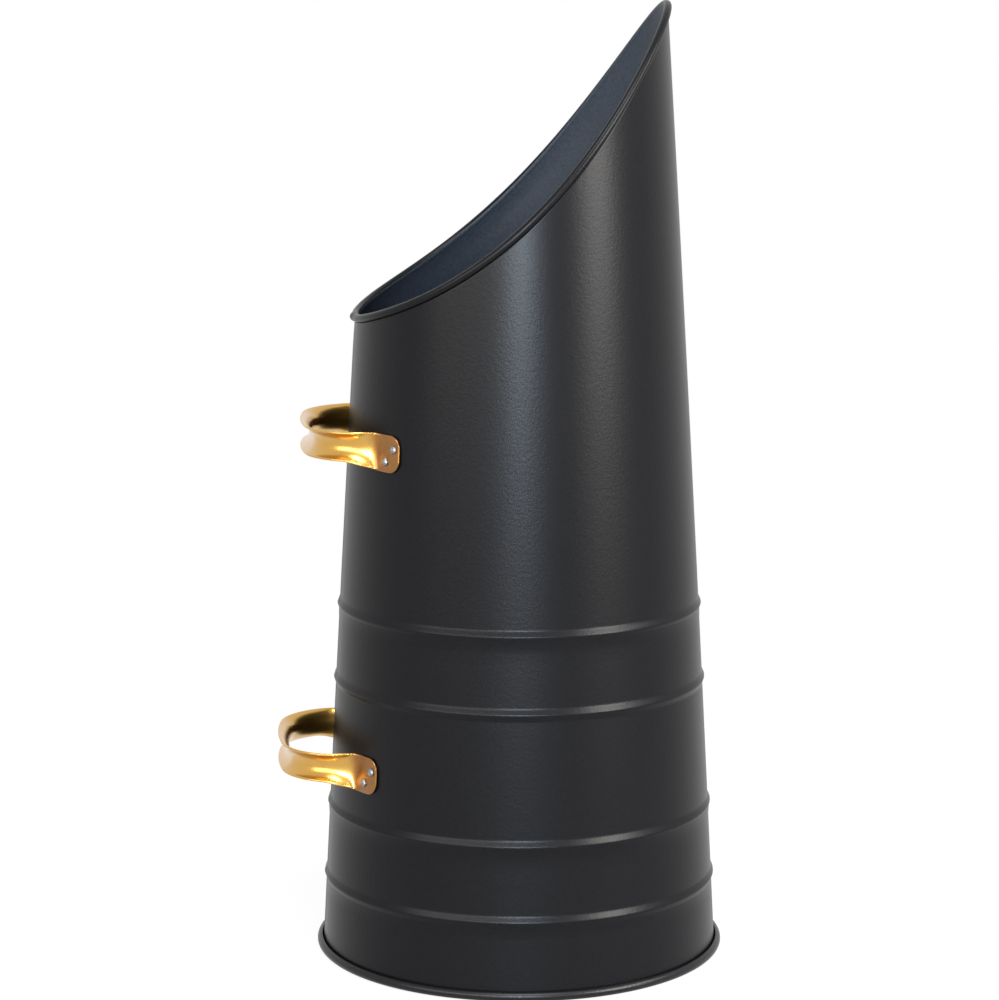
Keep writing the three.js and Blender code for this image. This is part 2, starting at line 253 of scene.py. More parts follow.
def make_piece(name, points, quads, caps=(), slots=None, attributes=None):
    """Mesh object from whole arrays, faces outwards, shaded smooth, shifted onto the body's axis."""
    points = np.asarray(points, float).reshape(-1, 3).copy()
    if signed_volume(points, quads) < 0:
        quads = quads[:, ::-1]
        caps = [cap[::-1] for cap in caps]
    points[:, 0] += AXIS_X
    mesh = bpy.data.meshes.new(name)
    mesh.from_pydata(points.tolist(), [], quads.tolist() + [list(cap) for cap in caps])
    mesh.validate()
    mesh.polygons.foreach_set("use_smooth", np.ones(len(mesh.polygons), bool))
    if slots is not None:
        mesh.polygons.foreach_set("material_index", np.asarray(slots, np.int32))
    for key, values in (attributes or {}).items():
        mesh.attributes.new(key, "FLOAT", "POINT").data.foreach_set(
            "value", np.asarray(values, np.float32).ravel())
    mesh.update()
    piece = bpy.data.objects.new(name, mesh)
    bpy.context.collection.objects.link(piece)
    return piece


def settle(piece, slot, *nodes):
    """The piece rides on the one rigid body and stands for its CAD nodes, which it hides. The slot is
    not used.
    """
    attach(piece, "root")
    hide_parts(*nodes)


# ---------- materials ----------

def add_node(tree, kind, settings=None, **links):
    """A shader node with its settings. Each input is linked or set, by name or by place, as _0."""
    node = tree.nodes.new(kind)
    for key, value in (settings or {}).items():
        setattr(node, key, value)
    for key, value in links.items():
        socket = node.inputs[int(key[1:])] if key[1:].isdigit() else node.inputs[key.replace("_", " ")]
        if isinstance(value, bpy.types.NodeSocket):
            tree.links.new(value, socket)
        else:
            socket.default_value = value
    return node


def new_material(name):
    """An empty node material with its output, its Principled shader and object coordinates."""
    material = bpy.data.materials.new(name)
    material.use_nodes = True
    tree = material.node_tree
    tree.nodes.clear()
    shader = tree.nodes.new("ShaderNodeBsdfPrincipled")
    output = tree.nodes.new("ShaderNodeOutputMaterial")
    tree.links.new(shader.outputs["BSDF"], output.inputs["Surface"])
    place = tree.nodes.new("ShaderNodeTexCoord").outputs["Object"]
    return material, tree, shader, place


def rgba(value, gain=1.0):
    """A solid colour, made brighter or darker by a gain."""
    return (*(min(c * gain, 1.0) for c in value), 1.0)


def noise(tree, place, cell, detail, roughness=0.5):
    """Soft noise, 0 to 1, with one wave to about `cell` metres."""
    return add_node(tree, "ShaderNodeTexNoise", Vector=place, Scale=1 / cell, Detail=detail,
                    Roughness=roughness).outputs["Fac"]


def relief(tree, height, depth, strength, **under):
    """Normal of a surface whose height goes up to `depth` metres, on the relief under it."""
    return add_node(tree, "ShaderNodeBump", Height=height, Distance=depth, Strength=strength,
                    **under).outputs["Normal"]


# places of the colour sockets of a mix node
MIX_FIRST = 6
MIX_SECOND = 7
MIX_RESULT = 2


def blend_colours(tree, factor, first, second):
    """Colour that goes from the first to the second as the factor goes from 0 to 1."""
    mix = add_node(tree, "ShaderNodeMix", {"data_type": "RGBA"}, Factor=factor)
    mix.inputs[MIX_FIRST].default_value = first
    mix.inputs[MIX_SECOND].default_value = second
    return mix.outputs[MIX_RESULT]


COAT_ROUGHNESS = 0.33
BODY_COAT_IOR = 1.24
PAN_COAT_IOR = 1.33
LINING_ROUGHNESS = 0.5
LINING_IOR = 1.3
CLOUDING = 0.025
SPECKLE = 0.18


def stove_coating(name, base, roughness, ior):
    """Baked satin coating on sheet steel: sprayed as powder, so it flows out with a fine orange peel
    about 1.6 mm across and a grain of about 0.75 mm that twinkles in the highlights. It is almost
    black, with a weak soft-edged mirror that strengthens towards the silhouette."""
    material, tree, shader, place = new_material(name)
    peel = noise(tree, place, 3.2 * MM, 2.0)
    grain = noise(tree, place, 1.5 * MM, 1.0, 0.6)
    cloud = noise(tree, place, 90 * MM, 3.0, 0.55)
    rough = add_node(tree, "ShaderNodeMapRange", Value=cloud, To_Min=roughness - CLOUDING,
                     To_Max=roughness + CLOUDING)
    speckle = add_node(tree, "ShaderNodeMapRange", Value=grain, From_Min=0.3, From_Max=0.7)
    tint = blend_colours(tree, speckle.outputs["Result"], rgba(base, 1 - SPECKLE),
                         rgba(base, 1 + SPECKLE))
    soft = relief(tree, peel, 0.04 * MM, 0.5)
    fine = relief(tree, grain, 0.1 * MM, 0.5, Normal=soft)
    tree.links.new(tint, shader.inputs["Base Color"])
    tree.links.new(rough.outputs["Result"], shader.inputs["Roughness"])
    tree.links.new(fine, shader.inputs["Normal"])
    shader.inputs["IOR"].default_value = ior
    return material


# waves to a metre of the drawing lines, along and across the strap
DRAW_LINES = (25, 1600, 1)


def strap_brass():
    """Polished brass strap under clear lacquer: bright and yellow where the gutter was rolled and
    buffed, and on the feet and into the bends a little rougher and darker, more copper, which is
    painted shade, with faint lengthwise lines."""
    material, tree, shader, place = new_material("polished_brass")
    along, across, foot = (
        add_node(tree, "ShaderNodeAttribute", {"attribute_name": name}).outputs["Fac"]
        for name in ("along", "across", "foot"))
    blotch = noise(tree, place, 9 * MM, 3.0, 0.6)
    wander = add_node(tree, "ShaderNodeMath", {"operation": "MULTIPLY_ADD"}, _0=blotch, _1=0.5,
                      _2=-0.25)
    # the foot's mask, wandering with the blotches, darkens and roughens the brass: the darkening is
    # painted shade
    foot_shade = add_node(tree, "ShaderNodeMath", {"operation": "ADD", "use_clamp": True}, _0=foot,
                      _1=wander.outputs[0]).outputs[0]
    tone = blend_colours(tree, foot_shade, rgba(colours().brass), rgba(colours().brass_painted_shade))
    grid = add_node(tree, "ShaderNodeCombineXYZ", X=along, Y=across)
    stretch = add_node(tree, "ShaderNodeMapping", Vector=grid.outputs[0], Scale=DRAW_LINES)
    draw = noise(tree, stretch.outputs[0], 1.0, 2.0)
    dents = noise(tree, place, 6 * MM, 1.0)
    lines = relief(tree, draw, 0.01 * MM, 0.2)
    hammered = relief(tree, dents, 0.07 * MM, 0.5, Normal=lines)
    rough = add_node(tree, "ShaderNodeMapRange", Value=foot_shade, To_Min=0.25, To_Max=0.36)
    tree.links.new(tone, shader.inputs["Base Color"])
    tree.links.new(rough.outputs["Result"], shader.inputs["Roughness"])
    tree.links.new(hammered, shader.inputs["Normal"])
    shader.inputs["Metallic"].default_value = 1.0
    shader.inputs["Coat Weight"].default_value = 0.5
    shader.inputs["Coat Roughness"].default_value = 0.18
    return material


def rivet_aluminium():
    """Soft aluminium, set with a few hammer blows: small flats and a dull grey shine."""
    material, tree, shader, place = new_material("hammered_aluminium")
    blows = add_node(tree, "ShaderNodeTexVoronoi", Vector=place, Scale=1 / (1.4 * MM))
    flats = blows.outputs["Distance"]
    tone = blend_colours(tree, flats, rgba(colours().rivet), rgba(colours().rivet, 0.7))
    tree.links.new(tone, shader.inputs["Base Color"])
    tree.links.new(relief(tree, flats, 0.2 * MM, 0.5), shader.inputs["Normal"])
    shader.inputs["Roughness"].default_value = 0.42
    shader.inputs["Metallic"].default_value = 1.0
    return material


WIRE_GREY = srgb_hex("#8d9094")
WIRE_SCRATCH = srgb_hex("#b4b6b9")


def drawn_wire():
    """Plain drawn steel wire, hidden in the mouth edge: grey, with fine bright scratches."""
    material, tree, shader, place = new_material("drawn_steel_wire")
    scratch = noise(tree, place, 0.6 * MM, 2.0)
    rough = add_node(tree, "ShaderNodeMapRange", Value=scratch, To_Min=0.3, To_Max=0.5)
    tone = blend_colours(tree, scratch, rgba(WIRE_GREY), rgba(WIRE_SCRATCH))
    tree.links.new(tone, shader.inputs["Base Color"])
    tree.links.new(rough.outputs["Result"], shader.inputs["Roughness"])
    shader.inputs["Metallic"].default_value = 1.0
    return material


# ---------- body ----------

SEAT_GAP = 0.3 * MM

# the flange turned out at the foot: how far its points stand out of the wall and above the pan, and
# what share of the sheet's thickness takes them in and down on the inner face
FLANGE_OUTS = np.array([1.2, 0.9, 0.45, 0.15, 0.03, 0.0]) * MM
FLANGE_RISES = np.array([0, 0, 0.12, 0.5, 1.0, 1.6]) * MM
FLANGE_IN = np.array([0.4, 0.4, 0.4, 0.4, 1, 1])
FLANGE_DOWN = np.array([1, 1, 1, 0.5, 0.2, 0])
WALL_START = 6 * MM

# crest and fillet are shares of the bead's rise
BEAD_UPPER_FLANK = 3.1 * MM
BEAD_LOWER_FLANK = 2.9 * MM
BEAD_CREST = 0.085
BEAD_FILLET = 0.06
BEAD_SETTLE = 9 * MM
BEAD_REACH = 7 * MM
BEAD_FADE = 2 * MM
FINE_REACH = 6.5 * MM

SEAM_START = 7 * MM
SEAM_EDGE = 2.0 * MM
SEAM_FADE = 0.06

# how far the wall's last points stand out of it and up from the middle of the roll, both in mm
OUTER_NECK = np.array([[0.0, 0.0, 0.0, -0.05, -0.2], [-4.0, -3.2, -2.6, -2.3, -2.1]])
INNER_NECK = np.array([[0.0, 0.0, -0.08, -0.25, -0.5, -0.8, -1.05],
                       [-11.0, -9.6, -8.0, -6.2, -4.4, -2.9, -1.8]])
ROLL_INSET = 0.2 * MM
ROLL_START = 212
ROLL_END = -95
# where the seam runs into the roll: half its width, and its shares of the roll's radius
SWELL_REACH = 4 * MM
SWELL_OUT = 0.3
SWELL_UP = 0.15
# points of the roll's outer face, counted from the rolled edge, that have the outside's coat; the
# rest of that face runs inside and takes the inside colour, a lighter blue-grey that is a painted
# reflection of the sky on what is the same black coat
OUTER_COAT_POINTS = 20

# stations round the body, level spacing by a bead and away from one, rows of the plain wall above
# the beads, and points round the roll
OUTER_FACE = {"count": 324, "fine": 0.55 * MM, "coarse": 6 * MM, "spans": 22, "arc_steps": 26}
INNER_FACE = {"count": 324, "fine": 1.3 * MM, "coarse": 12 * MM, "spans": 14, "arc_steps": 26}


def bead_shape(u):
    """Height of a pressed bead, 0 to 1, at a distance u above its crest: two straight flanks, the
    upper one longer, joined by a small round crest and eased into the wall by small fillets."""
    upper = 1 - u / BEAD_UPPER_FLANK
    lower = 1 + u / BEAD_LOWER_FLANK
    ridge = BEAD_CREST * (math.log(2) - np.logaddexp(-upper / BEAD_CREST, -lower / BEAD_CREST))
    settled = math.log(2) * np.exp(-(u / BEAD_SETTLE) ** 2)
    return BEAD_FILLET * (np.logaddexp(0, ridge / BEAD_FILLET) - settled)


def bead_profile(z):
    """Sum of the four beads at each height, each faded to nothing at its reach from the crest."""
    total = np.zeros_like(z)
    for height in body_sizes().bead_heights:
        u = z - height
        fade = np.clip((BEAD_REACH - np.abs(u)) / BEAD_FADE, 0, 1)
        total += np.maximum(bead_shape(u), 0) * fade
    return total * body_sizes().bead_proud


def wall_levels(fine, coarse):
    """Heights from the foot to above the top bead: `fine` apart near a crest, `coarse` elsewhere."""
    crests = np.array(body_sizes().bead_heights)
    top = crests.max() + BEAD_REACH
    levels = []
    z = WALL_START
    while z < top:
        levels.append(z)
        z += fine if np.abs(crests - z - fine).min() < FINE_REACH else coarse
    return np.array(levels + [top])


def body_angles(count):
    """Arcs of the seam's stations, angles of the others, and which of all stations lie on the seam."""
    half = body_sizes().seam_width / 2
    arcs = np.array([-half - SEAM_EDGE, -half - SEAM_EDGE / 2, -half, -half / 2, 0, half / 2, half,
                     half + SEAM_EDGE / 2, half + SEAM_EDGE])
    even = np.arange(1, count) * 2 * np.pi / count
    first = (half + 3 * SEAM_EDGE) / body_sizes().tip_radius
    even = even[(even > first) & (even < 2 * np.pi - first)]
    ribbed = np.abs(arcs) < half + SEAM_EDGE / 4
    return arcs, even, np.concatenate([ribbed, np.zeros(len(even), bool)])


def station_angles(arcs, even, z):
    """Angles of all stations at given heights: the seam keeps its width, the rest keep their angle."""
    z = np.atleast_1d(z)
    seam = arcs[:, None] / wall_radius(z)[None, :]
    return np.concatenate([seam, np.repeat(even[:, None], len(z), 1)], 0)


def body_skin(count, fine, coarse, spans, arc_steps, outside, table):
    """One face of the sheet from the foot flange to the end of the mouth roll, as a grid of stations
    by profile points. Each point is the wall's point at its angle and height, moved along the wall's
    normal by the beads and the seam, and on the inner face back by the sheet; round the mouth the
    profile is a circle's arc set off from the edge, out along the normal and up along the wall."""
    b = body_sizes()
    arcs, even, ribbed = body_angles(count)
    sheet = b.sheet
    top = b.pan_sheet + SEAT_GAP + sheet
    depth = 0.0 if outside else sheet
    # foot flange: turned out on a small radius
    z = top + FLANGE_RISES - depth * FLANGE_DOWN
    r = wall_radius(z) + FLANGE_OUTS - depth * FLANGE_IN
    flange = polar_point(station_angles(arcs, even, z), r, z)
    # wall with its beads
    z = wall_levels(fine, coarse)
    ang = station_angles(arcs, even, z)
    rib = np.where(ribbed[:, None] & (z[None, :] > SEAM_START), b.seam_proud, 0.0)
    wall = wall_point(ang, z[None, :], bead_profile(z)[None, :] - depth + rib * outside)
    # plain wall up to the neck under the roll
    neck_outs, neck_ups = (OUTER_NECK if outside else INNER_NECK) * MM
    lip_angle = station_angles(arcs, even, b.lip_height)[:, 0]
    neck_angle, neck_z, _ = beside_mouth(lip_angle, 0.0, neck_ups[0], table)
    start = station_angles(arcs, even, z[-1:])[:, 0]
    share = np.linspace(0, 1, spans + 2)[1:-1][None, :]
    ang = start[:, None] + share * (neck_angle - start)[:, None]
    span_z = z[-1] + share * (neck_z[:, None] - z[-1])
    fade = np.clip((1 - share) / SEAM_FADE, 0, 1)
    rib = np.where(ribbed[:, None], b.seam_proud * fade, 0.0)
    span = wall_point(ang, span_z, rib * outside - depth)
    # neck, tucked in under the roll, then the roll round the wire, thicker where the seam runs into it
    turn = np.radians(np.linspace(ROLL_START, ROLL_END, arc_steps))
    radius = b.roll_radius - (sheet if outside else 0.0)
    outs = np.concatenate([neck_outs, radius * np.cos(turn) + depth - ROLL_INSET])
    ups = np.concatenate([neck_ups, radius * np.sin(turn)])
    off_seam = (np.mod(lip_angle + np.pi, 2 * np.pi) - np.pi) * wall_radius(b.lip_height)
    swell = np.exp(-(off_seam / SWELL_REACH) ** 4)[:, None] * (1 - outside)
    swell = swell * (np.arange(len(outs)) >= len(neck_outs))
    _, _, roll = beside_mouth(lip_angle[:, None], outs * (1 + SWELL_OUT * swell) - depth,
                              ups * (1 + SWELL_UP * swell), table)
    return np.concatenate([flange, wall, span, roll], 1)


class HOD_OT_body(bpy.types.Operator):
    """Sheet body: tapered wall with pressed beads, folded seam, foot flange and rolled mouth edge"""

    bl_idname = "hod.body"
    bl_label = "Coated body"

    def execute(self, context):
        table = mouth_table()
        outer = body_skin(**OUTER_FACE, outside=True, table=table)
        inner = body_skin(**INNER_FACE, outside=False, table=table)
        grid = np.concatenate([outer, inner[:, ::-1]], 1)
        rows, cols = grid.shape[:2]
        quads = grid_faces(rows, cols, wrap_rows=True, wrap_cols=True)
        # the inside faces take the inside colour, a painted reflection of the sky on the same black
        # coat
        painted_reflection_faces = np.arange(cols) >= outer.shape[1] + OUTER_COAT_POINTS
        piece = make_piece("coated_body", grid, quads, slots=np.tile(painted_reflection_faces, rows))
        piece.data.materials.append(stove_coating(
            "satin_black_coating", colours().coat, COAT_ROUGHNESS, BODY_COAT_IOR))
        # inside material: the same coating, its lighter blue-grey colour a painted sky reflection
        piece.data.materials.append(stove_coating(
            "inside_painted_sky_reflection", colours().inside_painted_reflection, LINING_ROUGHNESS, LINING_IOR))
        settle(piece, "black_coat", "body_sheet")
        return {"FINISHED"}


# ---------- base pan ----------

REST_RING = 11.8 * MM
PANEL_STEP = 4 * MM
PANEL_RISE = 3 * MM
FOLD_CLEAR = 1.0 * MM
FOLD_ROUND = 0.15 * MM
PANEL_SHARES = (0.02, 0.3, 0.6)
PAN_STATIONS = 288


class HOD_OT_base_pan(bpy.types.Operator):
    """Base pan: stepped bottom panel, flat resting ring and a rim curled over the body's foot"""

    bl_idname = "hod.base_pan"
    bl_label = "Base pan"

    def execute(self, context):
        b = body_sizes()
        sheet, curl = b.pan_sheet, b.pan_curl
        centre = b.base_radius + b.pan_overhang - curl
        fold = wall_radius(2 * curl) + FOLD_CLEAR
        ring = b.base_radius - REST_RING

        def curl_points(radius, first, last, count):
            """Points of a circle about the curl's centre, by angle."""
            a = np.radians(np.linspace(first, last, count))
            return np.stack([centre + radius * np.cos(a), curl + radius * np.sin(a)], 1)

        def stepped(lift):
            """Eased step between the raised panel and the resting ring."""
            s = np.linspace(0, 1, 9)
            return np.stack([ring - PANEL_STEP * (1 - s), PANEL_RISE * (1 - ease(s)) + lift], 1)

        flat = np.array([[b.base_radius * share, PANEL_RISE] for share in PANEL_SHARES])
        bottom = np.concatenate([flat, stepped(0.0), curl_points(curl, -90, 90, 26),
                                 [[fold, 2 * curl]]])
        edge = [[fold - FOLD_ROUND, 2 * curl - sheet / 2], [fold, 2 * curl - sheet]]
        top = np.concatenate([edge, curl_points(curl - sheet, 90, -90, 18), stepped(sheet)[::-1],
                              flat[::-1] + [0, sheet]])
        # the profile of radius and height, turned about the axis
        profile = np.concatenate([bottom, top])
        angle = np.arange(PAN_STATIONS) * 2 * np.pi / PAN_STATIONS
        grid = polar_point(angle[:, None], profile[:, 0], profile[:, 1])
        cols = len(profile)
        quads = grid_faces(PAN_STATIONS, cols, wrap_rows=True, wrap_cols=False)
        under = np.arange(PAN_STATIONS) * cols
        over = under + cols - 1
        piece = make_piece("base_pan_skin", grid, quads, caps=[under, over[::-1]])
        piece.data.materials.append(stove_coating(
            "satin_black_pan_coating", colours().coat, COAT_ROUGHNESS, PAN_COAT_IOR))
        settle(piece, "black_coat", "base_pan")
        return {"FINISHED"}


# ---------- strap handles ----------

FOOT_LENGTH = 14.6 * MM
FOOT_CORNER = 6.5 * MM
BEND_RADIUS = 5 * MM
SHOULDER_RADIUS = 27 * MM
GRIP_BOW = 165 * MM
GUTTER_HALF_ANGLE = math.radians(73.5)
GUTTER_START = 10.6 * MM
GUTTER_RUN = 23 * MM
LOOP_LIFT = 2.9 * MM
LOOP_SAMPLES = 12001
BEND_SOFTENING = 1201
# distance of each rivet from the foot's end, and its rise above the foot's middle
RIVET_SPOTS = ((4.0 * MM, 2.4 * MM), (9.6 * MM, -4.0 * MM))
HOLLOW_DEPTH = 0.22 * MM
HOLLOW_RADIUS = 3.2 * MM
BLUNT_RUN = 0.6 * MM
BLUNT_LEAST = 0.02
# painted shade on the brass: ends this far from the foot's end, past the bend, fading over the last of
# it
FOOT_SHADE_END = FOOT_LENGTH + 8 * MM
FOOT_SHADE_FADE = 7 * MM
TIP_STATIONS = np.array([0, 0.12, 0.3, 0.6, 1.0, 1.6, 2.4, 3.3, 4.3, 5.4, 6.5]) * MM
GRIP_START = 7.4 * MM
GRIP_STATIONS = 110
FLATTEST_BEND = 1e-3


def foot_end_angle(height):
    """Angle of a foot's end from the low line, from the span of the handle."""
    return math.asin(handle_sizes().span / 2 / (wall_radius(height) + SEAT_GAP))


def loop_path(height, reach):
    """Half of the handle in plan as arc length, x, y and heading. The heading falls along the foot as
    it lies round the wall, rises through the bend, holds along the leg, falls round the shoulder and
    reaches zero across the bowed grip. It is then averaged along the strap, so that no bend starts
    sharply; x and y are the running sums of its sine and cosine, with y drawn in to end at zero."""
    r = float(wall_radius(height))
    lie = r + SEAT_GAP
    end = foot_end_angle(height)
    lift_off = end - FOOT_LENGTH / r
    square = math.pi / 2
    leg_y = -lie * math.sin(lift_off) + BEND_RADIUS * (1 - math.sin(lift_off))
    bow = math.asin((-leg_y - SHOULDER_RADIUS) / (GRIP_BOW - SHOULDER_RADIUS))
    leg_start = -(lie + BEND_RADIUS) * math.cos(lift_off)
    leg_end = -(r + reach) + SHOULDER_RADIUS * math.cos(bow) + GRIP_BOW * (1 - math.cos(bow))
    runs = [0, lie * (end - lift_off), BEND_RADIUS * (square - lift_off), leg_start - leg_end,
            SHOULDER_RADIUS * (square - bow), GRIP_BOW * bow]
    run = np.linspace(0, sum(runs), LOOP_SAMPLES)
    heading = np.interp(run, np.cumsum(runs), [end, lift_off, square, square, bow, 0])
    soft = np.hanning(BEND_SOFTENING)
    heading = np.pad(heading, BEND_SOFTENING // 2, mode="reflect", reflect_type="odd")
    heading = np.convolve(heading, soft / soft.sum(), mode="valid")
    ds = run[1]
    mid = (heading[1:] + heading[:-1]) / 2
    x = -lie * math.cos(end) - np.concatenate([[0], np.cumsum(np.sin(mid) * ds)])
    y = -lie * math.sin(end) + np.concatenate([[0], np.cumsum(np.cos(mid) * ds)])
    return run, x, y - y[-1] * run / run[-1], heading


def strap_outline():
    """Closed outline of the flat strap's section as (across, out) pairs, with rounded edges."""
    h = handle_sizes()
    half = h.strap_width / 2
    t = h.strap_thickness / 2
    face = np.linspace(-1, 1, 25)
    edge = np.radians(np.linspace(-90, 90, 9))[1:-1]
    low = np.stack([face * (half - t), np.full_like(face, -t)], 1)
    right = np.stack([half - t + t * np.cos(edge), t * np.sin(edge)], 1)
    high = np.stack([-face * (half - t), np.full_like(face, t)], 1)
    left = np.stack([-(half - t) - t * np.cos(edge), -t * np.sin(edge)], 1)
    return np.concatenate([low, right, high, left])


def build_handle(name, height, reach):
    """The strap's outline carried along the loop. Each section is bent to an arc whose half angle
    grows from nothing on the foot to that of the gutter on the grip; the foot leans with the wall
    and the loop stands upright. The other half is its mirror image in the XZ plane."""
    h = handle_sizes()
    run, x, y, heading = loop_path(height, reach)
    stations = np.concatenate([TIP_STATIONS, np.linspace(GRIP_START, run[-1], GRIP_STATIONS)])
    px, py, head = (np.interp(stations, run, v) for v in (x, y, heading))
    form = ease(np.clip((stations - GUTTER_START) / GUTTER_RUN, 0, 1))
    mirror = slice(-2, None, -1)
    px = np.concatenate([px, px[mirror]])
    py = np.concatenate([py, -py[mirror]])
    head = np.concatenate([head, -head[mirror]])
    form = np.concatenate([form, form[mirror]])
    s = np.concatenate([stations, stations[mirror]])
    outline = strap_outline()
    cut = np.maximum(FOOT_CORNER - s, 0)
    trim = FOOT_CORNER - np.sqrt(np.maximum(FOOT_CORNER ** 2 - cut ** 2, 0))
    narrow = 1 - trim / (h.strap_width / 2)
    blunt = np.sqrt(np.clip(1 - (1 - np.minimum(s / BLUNT_RUN, 1)) ** 2, BLUNT_LEAST, 1))
    u = outline[None, :, 0] * narrow[:, None]
    w = outline[None, :, 1] * blunt[:, None]
    # hammered hollows round the two rivets of each foot
    for from_end, rise in RIVET_SPOTS:
        off_rivet = np.hypot(s[:, None] - from_end, u - rise)
        w = w - HOLLOW_DEPTH * np.exp(-(off_rivet / HOLLOW_RADIUS) ** 2) * (w > 0)
    bend = np.maximum(GUTTER_HALF_ANGLE * form, FLATTEST_BEND)
    radius = h.strap_width / (2 * bend)
    lean = np.arctan(-wall_slope(height)) * (1 - form)
    angle = u / radius[:, None]
    rho = radius[:, None] - w
    sideways = rho * np.sin(angle)
    outwards = radius[:, None] + h.strap_thickness / 2 - rho * np.cos(angle)
    across = np.stack([np.cos(head) * np.sin(lean), np.sin(head) * np.sin(lean), np.cos(lean)], -1)
    away = np.stack([-np.cos(head) * np.cos(lean), -np.sin(head) * np.cos(lean), np.sin(lean)], -1)
    centre = np.stack([px, py, height + LOOP_LIFT * form], -1)
    grid = (centre[:, None] + across[:, None] * sideways[..., None]
            + away[:, None] * outwards[..., None])
    rows, cols = grid.shape[:2]
    quads = grid_faces(rows, cols, wrap_rows=False, wrap_cols=True)
    caps = [np.arange(cols)[::-1], (rows - 1) * cols + np.arange(cols)]
    # share of painted shade on the brass: full over the foot and the bend, fading out on the leg
    foot = ease(np.clip((FOOT_SHADE_END - s) / FOOT_SHADE_FADE, 0, 1))
    return make_piece(name, grid, quads, caps=caps, attributes={
        "along": np.repeat(np.concatenate([stations, 2 * run[-1] - stations[mirror]]), cols),
        "across": np.broadcast_to(u, (rows, cols)),
        "foot": np.repeat(foot, cols)})


class HOD_OT_handles(bpy.types.Operator):
    """Two brass strap handles: gutter-shaped grips that flatten into feet shaped to the wall"""

    bl_idname = "hod.handles"
    bl_label = "Strap handles"

    def execute(self, context):
        h = handle_sizes()
        brass = strap_brass()
        for name, height, reach in (("upper_handle", h.upper_height, h.upper_reach),
                                    ("lower_handle", h.lower_height, h.lower_reach)):
            piece = build_handle(f"{name}_strap", height, reach)
            piece.data.materials.append(brass)
            settle(piece, "brass_strap", name)
        return {"FINISHED"}


# ---------- rivets ----------

RIVET_SHANK = 1.3 * MM
RIVET_RIM = 0.25 * MM
RIVET_DOME = 1.1 * MM
RIVET_TAIL = 0.9 * MM
RIVET_SINK = 0.15 * MM
TAIL_GAP = 0.1 * MM
POLE_RADIUS = 0.001 * MM
RIVET_STATIONS = 40
# lobes, depth as a share of the radius, and turn for each unit of the rivet's own number
HEAD_WAVES = ((3, 0.035, 1.0), (5, 0.025, 2.3))
HEAD_TILT = 0.06 * MM
OWN_TURN = 1.7


def build_rivet(name, angle, z, seed):
    """A revolved rivet on the wall's normal: domed head, shank and upset tail. Slow sine waves of
    the radius, and of the dome's height, leave it a little out of true, as hammered rivets are."""
    h = handle_sizes()
    head = h.rivet_head
    seat = SEAT_GAP + h.strap_thickness - RIVET_SINK
    tail = -body_sizes().sheet - TAIL_GAP
    a = np.linspace(0, np.pi / 2, 12)
    dome = np.stack([head * np.cos(a), seat + RIVET_RIM + RIVET_DOME * np.sin(a)], 1)
    back = np.stack([head * np.sin(a), tail - RIVET_TAIL * np.cos(a)], 1)
    profile = np.concatenate([back, [[RIVET_SHANK, tail], [RIVET_SHANK, seat], [head, seat]], dome])
    profile[[0, -1], 0] = POLE_RADIUS
    turn = np.arange(RIVET_STATIONS) * 2 * np.pi / RIVET_STATIONS
    wave = 1 + sum(deep * np.sin(lobes * turn + own * seed) for lobes, deep, own in HEAD_WAVES)
    r = profile[None, :, 0] * wave[:, None]
    domed = profile[None, :, 1] > seat + RIVET_RIM
    lift = profile[None, :, 1] + HEAD_TILT * np.sin(2 * turn + seed)[:, None] * domed
    normal = wall_normal(angle, z)
    side = np.array([math.sin(angle), -math.cos(angle), 0.0])
    up = np.cross(normal, side)
    seat_point = wall_point(angle, z, 0.0)
    grid = (seat_point + side * (r * np.cos(turn)[:, None])[..., None]
            + up * (r * np.sin(turn)[:, None])[..., None] + normal * lift[..., None])
    cols = len(profile)
    quads = grid_faces(RIVET_STATIONS, cols, wrap_rows=True, wrap_cols=False)
    low = np.arange(RIVET_STATIONS) * cols
    return make_piece(name, grid, quads, caps=[low, (low + cols - 1)[::-1]])


class HOD_OT_rivets(bpy.types.Operator):
    """Eight domed rivets, two through each handle foot"""

    bl_idname = "hod.rivets"
    bl_label = "Rivets"

    def execute(self, context):
        h = handle_sizes()
        finish = rivet_aluminium()
        for which, height in (("upper", h.upper_height), ("lower", h.lower_height)):
            for side, sign in (("near", 1), ("far", -1)):
                for i, (from_end, rise) in enumerate(RIVET_SPOTS, 1):
                    node = f"{which}_{side}_rivet_{i}"
                    angle = sign * (foot_end_angle(height) - from_end / wall_radius(height))
                    seed = OWN_TURN * i + height
                    piece = build_rivet(f"{node}_dome", float(angle), height + rise, seed)
                    piece.data.materials.append(finish)
                    settle(piece, "rivet_metal", node)
        return {"FINISHED"}


# ---------- carried wire ----------

class HOD_OT_wire(bpy.types.Operator):
    """Finish of the wire inside the rolled mouth edge, whose CAD solid is kept"""

    bl_idname = "hod.wire"
    bl_label = "Mouth wire"

    def execute(self, context):
        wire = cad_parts["mouth_wire"]
        finish = drawn_wire()
        for slot in wire.material_slots:
            slot.material = finish
        return {"FINISHED"}


# ---------- stage ----------

# the photograph's camera, solved from the hod's outline
FOCAL_PIXELS = 3307.4
FRAME_PIXELS = 999
SENSOR = 36.0
CAMERA_DISTANCE = 1663.3 * MM
CAMERA_HEIGHT = 527.7 * MM
CAMERA_AZIMUTH = math.radians(4.8)
CAMERA_HEADING = math.radians(4.45)
CAMERA_PITCH = math.radians(10.06)

WORLD_LIGHT = 0.5
FLOOR_SPAN = 6.0
FLOOR_DROP = 0.4 * MM
LAMP_DISTANCE = 1.8
LAMP_AIM_HEIGHT = 0.25
